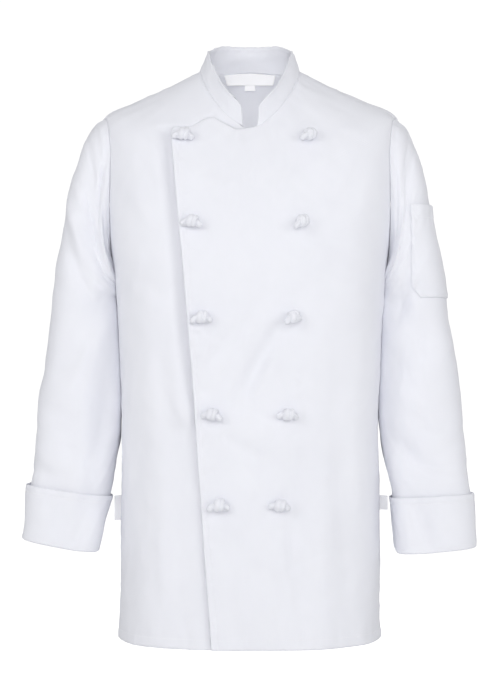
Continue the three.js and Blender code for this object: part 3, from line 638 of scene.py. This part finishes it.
across = np.linspace(0, 1, 261)[None, :]
upward = np.linspace(0, 1, 45)[:, None]
neck = np.asarray(BODY_SECTIONS[NECK_ROW], float)
corner = np.maximum(0, (upward - COLLAR_CORNER_START) / (1 - COLLAR_CORNER_START))
half_gap = COLLAR_HALF_GAP + COLLAR_CORNER_REACH * (1 - np.sqrt(1 - 0.98 * corner ** 2))
gap_angle = np.arcsin(half_gap / (neck[3] + (COLLAR_TOP[3] - neck[3]) * upward))
angle = math.pi / 2 + gap_angle + across * (2 * math.pi - 2 * gap_angle)
base = ring_point(np.broadcast_to(neck, angle.shape + neck.shape), angle)
top = ring_point(np.broadcast_to(COLLAR_TOP, angle.shape + neck.shape), angle)
step = top - base
base = base + SEAM_GAP * step / np.linalg.norm(step, axis=-1, keepdims=True)
collar_points = base + (top - base) * upward[..., None]
height = run_lengths(collar_points, 0)
round_neck = run_lengths(collar_points, 1)
from_top = height[-1:] - height
from_end = np.minimum(round_neck, round_neck[:, -1:] - round_neck)
lift = stitched_band(np.minimum(from_top, from_end), round_neck, COLLAR_STITCH, 41)
lift += 0.35 * ripple(round_neck, height, 46, 42) + 0.12 * ripple(round_neck, height, 17, 43)
# The band buckles inward a little behind the neck, in a soft roll.
behind = np.clip(-np.sin(angle), 0, 1) ** 2
lift += -1.8 * behind * np.exp(-((height - 21 - 7 * np.cos(angle)) / 6) ** 2)
# Its end on the wearer's right lies lower, because it is sewn to the under front.
x = collar_points[..., 0]
lift -= 2.6 * np.exp(-((x + 9) / 13) ** 2) * (x < 0) * (collar_points[..., 1] < 0)
collar_points = collar_points + normals_of(collar_points, -1) * lift[..., None]
collar = sew_cloth("stand_collar", twill, collar_points, -1, COLLAR_CLOTH)
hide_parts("collar")
collar_row = sew_stitches("collar_edge_stitches", collar_points, -1, from_top, COLLAR_STITCH)


# The sleeves are set into the armholes, one piece of twill each with its seam under the arm. They hang
# slightly bent, so cloth gathers inside the elbow in slanting folds and runs smooth down the outside.
ARMHOLE_SHIFT = 0.35
ARMHOLE_EASE = 2
SLEEVE_SQUARENESS = 3
SLEEVE_ROW_LENGTH = 66
SLEEVE_RADIUS = 65
SLEEVE_FULLNESS = 7
# Sections from the armhole to the fold of the cuff: outer point and inner point seen from the front, middle
# and half of the depth. The last two rows are the cuff's upper edge and its fold.
LEFT_SLEEVE = [
    (206, -69, 190.6, -298, -2, 62), (223, -86, 190.9, -301, -1, 65),
    (236, -116, 191, -304, 1, 68), (249, -168, 190.9, -308, 3, 70),
    (261.5, -238, 190.3, -315, 5, 70), (276.5, -318, 188.6, -337, 7, 68),
    (289, -402, 184.9, -412, 7, 63), (298, -480, 182.4, -490, 2, 56),
    (303.5, -542, 189.5, -549, -11, 50), (306.5, -595, 200, -601, -24, 46),
    (310.5, -668, 208, -677, -38, 45),
]
RIGHT_SLEEVE = [
    (206, -68, 190.6, -298, -2, 62), (224, -82, 190.9, -301, -1, 65),
    (238.5, -115, 191, -304, 1, 68), (252, -166, 190.9, -308, 3, 70),
    (266, -236, 190.3, -315, 5, 70), (278.5, -316, 188.6, -337, 7, 68),
    (289.5, -398, 184.9, -412, 7, 63), (297.5, -474, 182.4, -490, 2, 56),
    (303.5, -534, 188.5, -549, -10, 50), (306.5, -583, 198, -599, -21, 46),
    (314, -657, 216, -675.5, -34, 45),
]
# Broad folds: angle round the sleeve (0 outside, 90 in front), row, turn, half width round and along, height.
SLEEVE_FOLDS = [
    (66, 1.5, 40, 30, 0.45, -3), (115, 5.2, -60, 40, 0.45, -4), (128, 7.3, 20, 24, 1.2, -5),
    (50, 7.4, 50, 44, 0.4, 3), (250, 6.4, -50, 44, 0.45, -4), (300, 7.4, -40, 40, 0.4, 3),
    (285, 3.4, 45, 40, 0.5, -3),
]
# Finer creases in the same terms, on the wearer's right and left sleeve.
RIGHT_SLEEVE_CREASES = [
    (78, 0.9, 74, 30, 0.3, -2.6), (108, 1.6, 70, 30, 0.3, 1.4), (102, 2.8, 58, 36, 0.8, -4.2),
    (60, 3.5, 50, 36, 0.26, 1.5), (80, 4.4, 56, 40, 0.3, -1.9), (104, 5.9, -52, 34, 0.26, 1.6),
    (72, 6.3, -46, 30, 0.24, -1.5), (130, 7.0, -20, 20, 1.4, -4.6), (96, 7.9, 44, 26, 0.3, -1.5),
    (84, 9.3, 55, 30, 0.4, -2.8), (126, 9.5, -30, 26, 0.8, -5),
    (40, 8.4, 40, 30, 0.26, -1.1), (240, 2.2, 50, 36, 0.3, -1.6), (262, 4.6, -50, 36, 0.28, 1.6),
    (236, 5.5, 44, 34, 0.26, -1.8), (222, 7.1, -44, 30, 0.3, 1.7), (276, 8.2, 46, 34, 0.28, -1.4),
]
LEFT_SLEEVE_CREASES = [
    (88, 0.8, 60, 26, 0.22, -1.5), (106, 2.1, 66, 34, 0.28, 1.5), (76, 4.9, -44, 40, 0.26, -1.5),
    (104, 4.6, 52, 34, 0.26, 1.4), (124, 5.0, 40, 26, 0.4, -4), (92, 6.9, -46, 34, 0.26, 1.6),
    (100, 8.2, -30, 24, 0.3, -2.6), (58, 7.7, 46, 30, 0.26, -1.2), (70, 6.1, 44, 34, 0.24, 1.1),
    (116, 9.5, -60, 22, 0.6, -4.2), (130, 6.1, 30, 18, 0.35, -4), (120, 7.8, -30, 20, 0.35, -3.6),
    (244, 2.5, 52, 36, 0.3, -1.5), (268, 4.8, -48, 36, 0.28, 1.6), (232, 5.7, 42, 34, 0.26, -1.9),
    (226, 7.3, -46, 30, 0.3, 1.6), (280, 8.1, 42, 34, 0.28, -1.3),
]


def armhole_point(turn):
    """The armhole's edge: angle 0 at the shoulder seam, 90 degrees in front, 180 at the underarm."""
    middle = (UNDERARM_ROW + SHOULDER_ROW) / 2
    place = middle + (SHOULDER_ROW - middle) * np.cos(turn)
    seam = SHOULDER_SEAM_ANGLE * (1 + np.cos(turn)) / 2
    return body_point(np.radians(seam + ARMHOLE_ANGLE * np.sin(turn)), place)


def sleeve_section(sections, turn, place):
    """A point on a section of a sleeve: a squared-off oval in the plane of its outer and inner points."""
    outer_x, outer_z, inner_x, inner_z, middle_y, half_depth = np.moveaxis(read_rows(sections, place), -1, 0)
    power = SLEEVE_SQUARENESS
    radius = (abs(np.cos(turn)) ** power + abs(np.sin(turn)) ** power) ** (-1 / power)
    c = radius * np.cos(turn)
    return np.stack([(outer_x + inner_x + c * (outer_x - inner_x)) / 2,
                     middle_y - half_depth * radius * np.sin(turn),
                     (outer_z + inner_z + c * (outer_z - inner_z)) / 2], -1)


def sleeve_fold_height(folds, degrees, place):
    """Height of folds on a sleeve: each runs slanting round it and fades to all sides."""
    rise = np.zeros_like(degrees + place)
    for fold_angle, row, turn, half_angle, half_row, height in folds:
        around = (degrees - fold_angle + 180) % 360 - 180
        slope = (place - row - around / 60 * math.tan(math.radians(turn)) * 0.6) / half_row
        rise += height * np.exp(-slope ** 2 - (around / half_angle) ** 2)
    return rise


def sleeve_point(sections, side, turn, place):
    """A sleeve's outer face. It starts at the armhole's edge and eases into the shape of its sections."""
    point = sleeve_section(sections, turn, place)
    outward = np.stack([np.cos(turn), -np.sin(turn), np.zeros_like(turn)], -1)
    point = point + outward * sleeve_fold_height(SLEEVE_FOLDS, np.degrees(turn), place)[..., None]
    to_edge = armhole_point(turn) - sleeve_section(sections, turn, np.zeros_like(place))
    to_edge[..., 0] += ARMHOLE_SHIFT
    ease = np.clip(place / ARMHOLE_EASE, 0, 1)
    point = point + to_edge * (1 - ease * ease * (3 - 2 * ease))[..., None]
    point[..., 0] *= side
    return point


def sleeve_outward(sections, side, turn, place):
    """The outward direction of a sleeve's form at places on it."""
    at = sleeve_point(sections, side, turn, place)
    across = sleeve_point(sections, side, turn + 1e-3 * side, place) - at
    along = sleeve_point(sections, side, turn, place + 1e-3) - at
    normal = np.cross(across, along)
    return normal / np.linalg.norm(normal, axis=-1, keepdims=True)


def sleeve_lift(creases, turn, place, seed):
    """Height of a sleeve's finer creases and waves above its broad form."""
    degrees = np.degrees(turn) % 360
    along = SLEEVE_ROW_LENGTH * place
    around = SLEEVE_RADIUS * np.sin(turn) + SLEEVE_RADIUS * np.cos(turn)
    lift = CREASE_DEPTH * sleeve_fold_height(creases, degrees, place)
    lift += 0.8 * ripple(around, along, 70, seed) + 0.2 * ripple(around, along, 24, seed + 1)
    # It lies calm at the armhole's seam and against the body, and fills the hollow in front between them.
    beside_body = np.exp(-((degrees - 180) / 26) ** 2) / (1 + np.exp((place - 7.6) / 0.2))
    calm = np.clip(place / 0.6, 0, 1) * (1 - 0.85 * beside_body)
    full = np.exp(-((degrees - 152) / 19) ** 2) * np.clip(place / 1.4, 0, 1) / (1 + np.exp((place - 7) / 0.3))
    return SLEEVE_FULLNESS * full + calm * lift


CUFF_DEPTH = 80
CUFF_STAND = 4.4
CUFF_INNER_LEG = 12
CUFF_STITCH = 9
CUFF_FOLD_ROW = 10
AROUND_SLEEVE = np.linspace(0, 2 * math.pi, 141)[:-1]
sleeve_end = CUFF_FOLD_ROW - (CUFF_INNER_LEG + SEAM_GAP) / CUFF_DEPTH
BOTH_ARMS = (("left", LEFT_SLEEVE, LEFT_SLEEVE_CREASES, 1, 51),
             ("right", RIGHT_SLEEVE, RIGHT_SLEEVE_CREASES, -1, 61))
for hand, sections, creases, side, seed in BOTH_ARMS:
    rows = np.linspace(0, 1, 181) ** 1.08 * sleeve_end
    place, turn = np.meshgrid(rows, AROUND_SLEEVE * side, indexing="ij")
    points = sleeve_point(sections, side, turn, place)
    lift = sleeve_lift(creases, turn, place, seed)
    from_armhole = run_lengths(points, 0)
    around = run_lengths(points, 1)
    lift += seam_pucker(from_armhole, around, seed + 2)
    points = points + normals_of(points, 1, True) * lift[..., None]
    sleeve = sew_cloth(f"{hand}_sleeve", twill, points, 1, CLOTH, True)
    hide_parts(f"sleeve_{hand}")


# Each cuff is a band of the sleeve's twill, sewn inside the sleeve's end and turned back up outside it,
# about 80 mm deep, with a turned and stitched upper edge.
for hand, sections, creases, side, seed in BOTH_ARMS:
    radius = (CUFF_STAND + CLOTH) / 2
    bend = np.linspace(0, math.pi, 13)
    out = np.concatenate([[-CLOTH, -CLOTH], CUFF_STAND - radius - radius * np.cos(bend),
                          np.full(40, CUFF_STAND)])
    up = np.concatenate([[CUFF_INNER_LEG, 7], radius - radius * np.sin(bend),
                         np.linspace(radius, CUFF_DEPTH, 41)[1:]])
    profile, turn = np.meshgrid(np.arange(len(out)), AROUND_SLEEVE * side, indexing="ij")
    place = CUFF_FOLD_ROW - up[profile] / CUFF_DEPTH
    points = sleeve_point(sections, side, turn, place)
    lift = sleeve_lift(creases, turn, place, seed)
    points = points + sleeve_outward(sections, side, turn, place) * (out[profile] + lift)[..., None]
    around = run_lengths(points, 1)
    from_top = run_lengths(points[::-1], 0)[::-1]
    extra = stitched_band(from_top, around, CUFF_STITCH, seed + 5)
    extra += 0.7 * ripple(around, from_top, 60, seed + 6, 0.5) * (profile > 15)
    points = points + normals_of(points, -1, True) * extra[..., None]
    cuff = sew_cloth(f"{hand}_cuff", twill, points, -1, CLOTH, True)
    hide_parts(f"cuff_{hand}")
    cuff_row = sew_stitches(f"{hand}_cuff_edge_stitches", points, -1, from_top, CUFF_STITCH, True)


# The sleeve pocket is a patch of twill on the wearer's left upper sleeve, stitched down on three sides and
# open at the top, with its lower front corner cut off at a slant.
POCKET_FRONT_TOP = 76
POCKET_FRONT_BOTTOM = 101
POCKET_BACK = -6
POCKET_BEVEL_PART = 0.146
POCKET_BEVEL_HEIGHT = 16
POCKET_TOP = -194
POCKET_BOTTOM = -322
POCKET_STAND = 1.1
POCKET_CLOTH = 1.3
POCKET_STITCH = 3
POCKET_TOP_STITCH = 18

backward, upward = np.meshgrid(np.linspace(0, 1, 83), np.linspace(0, 1, 71))
pocket_front = POCKET_FRONT_BOTTOM + (POCKET_FRONT_TOP - POCKET_FRONT_BOTTOM) * upward
degrees = pocket_front + (POCKET_BACK - pocket_front) * backward
bevel = POCKET_BEVEL_HEIGHT * np.maximum(0, 1 - backward / POCKET_BEVEL_PART)
height = POCKET_BOTTOM + bevel + (POCKET_TOP - POCKET_BOTTOM - bevel) * upward
turn = np.radians(degrees)
place = solve_rising(0 * turn + 1, 0 * turn + 8,
                     lambda row: height - sleeve_point(LEFT_SLEEVE, 1, turn, row)[..., 2])
points = sleeve_point(LEFT_SLEEVE, 1, turn, place)
lift = sleeve_lift(LEFT_SLEEVE_CREASES, turn, place, 51)
points = points + sleeve_outward(LEFT_SLEEVE, 1, turn, place) * (lift + CLOTH + POCKET_STAND)[..., None]
sideways = run_lengths(points, 1)
from_bottom = run_lengths(points, 0)
from_edge = np.minimum(np.minimum(sideways, sideways[:, -1:] - sideways), from_bottom)
from_top = from_bottom[-1:] - from_bottom
# It is drawn down and puckers along the stitches, and its open top stands off a little.
extra = -0.9 * np.exp(-(from_edge / 3.2) ** 2)
extra += 0.25 * ripple(sideways, from_bottom, 14, 71) * np.exp(-(from_edge / 8) ** 2)
extra += stitched_band(from_top, sideways, POCKET_TOP_STITCH, 72) + 0.8 * np.exp(-(from_top / 9) ** 2)
points = points + normals_of(points, 1) * extra[..., None]
pocket = sew_cloth("patch_pocket", twill, points, 1, POCKET_CLOTH)
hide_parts("sleeve_pocket")
for side, distance, inset, turned in (
        ("bottom", from_bottom, POCKET_STITCH, False), ("top", from_top, POCKET_TOP_STITCH, False),
        ("front", sideways, POCKET_STITCH, True), ("back", sideways[:, -1:] - sideways, POCKET_STITCH, True)):
    row = sew_stitches(f"pocket_{side}_stitches", points, 1, distance, inset, turned=turned)


# The ten knot buttons are hand-tied from a rolled cord of the same twill: a short loop whose two ends show,
# under two tight turns of the same cord, sewn through from behind.
KNOT_RADIUS = 7.6
KNOT_BEDDING = 0.35
# Height of each pair of knots, and their places across the front: by the free edge and on the breast.
KNOT_ROWS = [(-105, -91, 80), (-223, -78, 69), (-351, -65, 57), (-482, -51, 50), (-604, -42, 39)]

# Rolled twill cord: matt and cool white, with a faint uneven change of tone.
cord = fabric("rolled_twill_cord", "#EFF0F6", "#E5E6ED", 0.88, 0.0022, 0.0002, math.radians(40), "Object")


def cord_tube(path, thickness):
    """A closed tube of cord along a path of points, in millimetres."""
    curve = bpy.data.curves.new("cord", "CURVE")
    curve.dimensions = "3D"
    curve.bevel_depth = 0.001
    curve.bevel_resolution = 4
    spline = curve.splines.new("POLY")
    spline.points.add(len(path) - 1)
    for point, at, size in zip(spline.points, path, thickness):
        point.co = (*(0.001 * np.asarray(at)), 1)
        point.radius = size
    spline.use_cyclic_u = True
    return put_in_scene("cord", curve)


def join_as_mesh(parts, name):
    """Turns tubes of cord into one mesh."""
    bpy.ops.object.select_all(action="DESELECT")
    for part in parts:
        part.select_set(True)
    bpy.context.view_layer.objects.active = parts[0]
    bpy.ops.object.convert(target="MESH")
    bpy.ops.object.join()
    bpy.context.object.name = name
    bpy.ops.object.shade_smooth()
    return bpy.context.object


# One knot: a loop whose two ends droop, under two turns of cord that make a full round middle. Each turn has
# its lean, its place along the loop and the thickness of its cord.
t = np.linspace(0, 2 * math.pi, 73)[:-1]
reach = 11.4 * np.sin(t)
core = np.stack([reach, -1.2 * np.cos(t) + 0.6, 1.8 * np.cos(t) - 0.026 * reach ** 2 - 0.2], -1)
turns = []
for lean, shift, tube in ((0.9, -1.4, 5.2), (1.3, 4.4, 3.6)):
    ring = np.stack([shift + lean * np.sin(t), (tube - 8.2) * np.cos(t) - 0.2,
                     (8.8 - tube) * np.sin(t) + 0.7], -1)
    turns.append(cord_tube(ring, tube + 0 * t))
first_knot = join_as_mesh([cord_tube(core, 3.7 + 0.5 * np.sin(t) ** 2), *turns], "cord_knot_1")
first_knot.data.materials.append(cord)
knot_shape = np.array([vertex.co for vertex in first_knot.data.vertices])

# How each is turned: tilt in the plane of the cloth, swing about the upright, roll about its own length.
KNOT_TURNS = [
    (0.05, 0.12, 0.1), (-0.1, 0.85, 0.3), (0.1, -0.1, -0.2), (-0.25, 0.8, 0.1), (-0.05, 0.2, 0.15),
    (-0.2, 0.7, -0.2), (0.12, -0.25, 0.25), (0.04, 0.05, 0.6), (-0.06, 0.15, -0.1), (0.08, -0.1, 0.65),
]
number = 1
for height, over_edge, over_breast in KNOT_ROWS:
    for x in (over_edge, over_breast):
        row, angle = front_place(x, height)
        at = body_point(np.array(angle), np.array(row))
        normal = body_normal(np.array(angle), np.array(row))
        inside_edge = past_free_edge(at[None, :])[0]
        out = KNOT_RADIUS + KNOT_BEDDING + EDGE_LIFT * math.exp(-(inside_edge / EDGE_LIFT_WIDTH) ** 2)
        if number == 1:
            knot = first_knot
        else:
            knot = put_in_scene(f"cord_knot_{number}", first_knot.data.copy())
        tilt, swing, roll = KNOT_TURNS[number - 1]
        facing = math.atan2(normal[0], -normal[1])
        turned = Matrix.Rotation(facing + swing, 3, "Z") @ Matrix.Rotation(tilt, 3, "Y")
        turned = turned @ Matrix.Rotation(roll, 3, "X")
        shape = knot_shape @ np.array(turned).T + 0.001 * (at + normal * out)
        knot.data.vertices.foreach_set("co", shape.reshape(-1))
        knot.data.update()
        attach(knot, "root")
        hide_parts(f"knot_button_{number}")
        number += 1


# The neck label and the size tab are blank satin tape, hung from the seam inside the back neck. The two side
# tags are short folded loops of the same tape, caught in the side seams above the hem.
LABEL_ROW_HEIGHT = 39
LABEL_HANG = 0.16
SIDE_SEAM = 182.9
TAG_CLOTH = 0.35
TAG_LEAN = 7

# Woven satin tape: a close, smooth polyester weave with a slight gloss across its fine ribs.
tape = fabric("satin_label_tape", "#F6F6F8", "#F1F1F4", 0.5, 0.0007, 0.00005, 0.0)
# The tape also glows faintly white: painted light that keeps the labels, and the side tags shaded between
# body and sleeve, brighter than the cloth beside them.
tape_painted_glow = tape.node_tree.nodes["Principled BSDF"].inputs
tape_painted_glow["Emission Color"].default_value = linear("#FFFFFF")
tape_painted_glow["Emission Strength"].default_value = 0.17


def hang_label(name, node, top_width, bottom_width, height, drop, thickness, bulge):
    """A tapering piece of tape that hangs down inside the back, a given drop below the neck seam."""
    across, upward = np.meshgrid(np.linspace(0, 1, 41), np.linspace(0, 1, 17))
    below = drop + (1 - upward) * height
    half_turn = (bottom_width + (top_width - bottom_width) * upward) / 2 / neck[5]
    points = body_point(1.5 * math.pi + (2 * across - 1) * half_turn, NECK_ROW - below / LABEL_ROW_HEIGHT)
    out = -(CLOTH + 0.4 + LABEL_HANG * below) - bulge * (1 - upward) * np.sin(math.pi * across * 2) ** 2
    points = points + normals_of(points, -1) * out[..., None]
    label = sew_cloth(name, tape, points, -1, thickness)
    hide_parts(node)
    return label


label = hang_label("blank_neck_label", "neck_label", 76, 60, 15, 0.5, 0.9, 0.5)
tab = hang_label("blank_size_tab", "size_tab", 13, 13, 7, 16, 0.8, 0.0)
for name, node, sign, top_height, height, reach in (
        ("blank_side_tag_right", "side_tag_right", -1, -601, 35, 9),
        ("blank_side_tag_left", "side_tag_left", 1, -601, 20, 12)):
    bend = np.linspace(-math.pi / 2, math.pi / 2, 9)
    out = np.concatenate([np.linspace(-1.5, reach - 1, 10), reach - 1 + 0.7 * np.cos(bend)[1:-1],
                          np.linspace(reach - 1, -1.5, 10)])
    depth = np.concatenate([np.full(10, -0.7), 0.7 * np.sin(bend)[1:-1], np.full(10, 0.7)])
    drop = np.linspace(0, height, 13)[:, None]
    sag = 0.5 * np.sin(drop / height * math.pi) * (out / reach)[None, :]
    forward = TAG_LEAN * np.clip(out / reach, 0, 1)
    points = np.stack(np.broadcast_arrays(sign * (SIDE_SEAM + out[None, :]), (depth - forward)[None, :] + sag,
                                          top_height - drop), -1)
    tag = sew_cloth(name, tape, points, sign, TAG_CLOTH)
    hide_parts(node)


# A plain pale studio floor and backdrop, three broad soft lights in front and one behind.
# The camera stands level with the middle of the jacket, as the photo's did.
floor_mesh = bpy.data.meshes.new("floor")
floor_mesh.from_pydata([(-9, -9, -1.15), (9, -9, -1.15), (9, 9, -1.15), (-9, 9, -1.15)], [], [(0, 1, 2, 3)])
floor = put_in_scene("studio_floor", floor_mesh)
paint = bpy.data.materials.new("white_floor_paint")
paint.use_nodes = True
painted = paint.node_tree.nodes["Principled BSDF"].inputs
painted["Base Color"].default_value = linear("#E8E8E8")
painted["Roughness"].default_value = 0.9
painted["Emission Color"].default_value = linear("#FFFFFF")
seen = add_node(paint.node_tree, "ShaderNodeLightPath").outputs["Is Camera Ray"]
glow = add_node(paint.node_tree, "ShaderNodeMath", [(0, seen), (1, 0.75)], operation="MULTIPLY")
paint.node_tree.links.new(glow.outputs[0], painted["Emission Strength"])
floor_mesh.materials.append(paint)

world = bpy.data.worlds.new("studio")
bpy.context.scene.world = world
world.use_nodes = True
sky = world.node_tree
direction = add_node(sky, "ShaderNodeTexCoord").outputs["Generated"]
split = add_node(sky, "ShaderNodeSeparateXYZ", [("Vector", direction)])
level = add_node(sky, "ShaderNodeMapRange", [
    ("Value", split.outputs["Z"]), ("From Min", -0.3), ("From Max", 0.9), ("To Min", 0.48), ("To Max", 0.5)])
seen = add_node(sky, "ShaderNodeLightPath").outputs["Is Camera Ray"]
shown = add_node(sky, "ShaderNodeMix", [(0, seen), (2, level.outputs[0]), (3, 1.05)], data_type="FLOAT")
sky.links.new(shown.outputs[0], sky.nodes["Background"].inputs["Strength"])
sky.nodes["Background"].inputs["Color"].default_value = linear("#FFFFFF")

# Each lamp: its place, the point it faces, power and size. The small one in the neck lights the inside of the
# back, as the studio's pale ceiling does. The camera sees none of them.
MIDDLE = (0, 0, -0.3)
for name, place, target, power, size in (
        ("soft_light_left", (-2.2, -2.0, 0.6), MIDDLE, 14.5, 1.0),
        ("soft_light_right", (2.2, -2.1, 0.1), MIDDLE, 15.5, 1.3),
        ("soft_light_front", (-0.1, -2.5, 0.25), MIDDLE, 18.5, 1.5),
        ("soft_light_back", (0.7, 2.8, 0.5), MIDDLE, 26, 1.6),
        ("neck_light", (0, -0.035, -0.08), (0, 0.059, -0.1142), 0.076, 0.04)):
    lamp = bpy.data.lights.new(name, "AREA")
    lamp.energy = power
    lamp.size = size
    lamp_object = put_in_scene(name, lamp)
    lamp_object.location = place
    aim = np.array(target) - np.array(place)
    tilt = math.atan2(math.hypot(aim[0], aim[1]), -aim[2])
    lamp_object.rotation_euler = (tilt, 0, math.atan2(-aim[0], aim[1]))

camera_data = bpy.data.cameras.new("camera")
camera_data.lens = 83.3
camera_data.sensor_width = 36
camera = put_in_scene("camera", camera_data)
camera.location = (0, -2.3, -0.395)
camera.rotation_euler = (math.pi / 2, 0, 0)
bpy.context.scene.camera = camera
bpy.context.scene.view_settings.view_transform = "Standard"
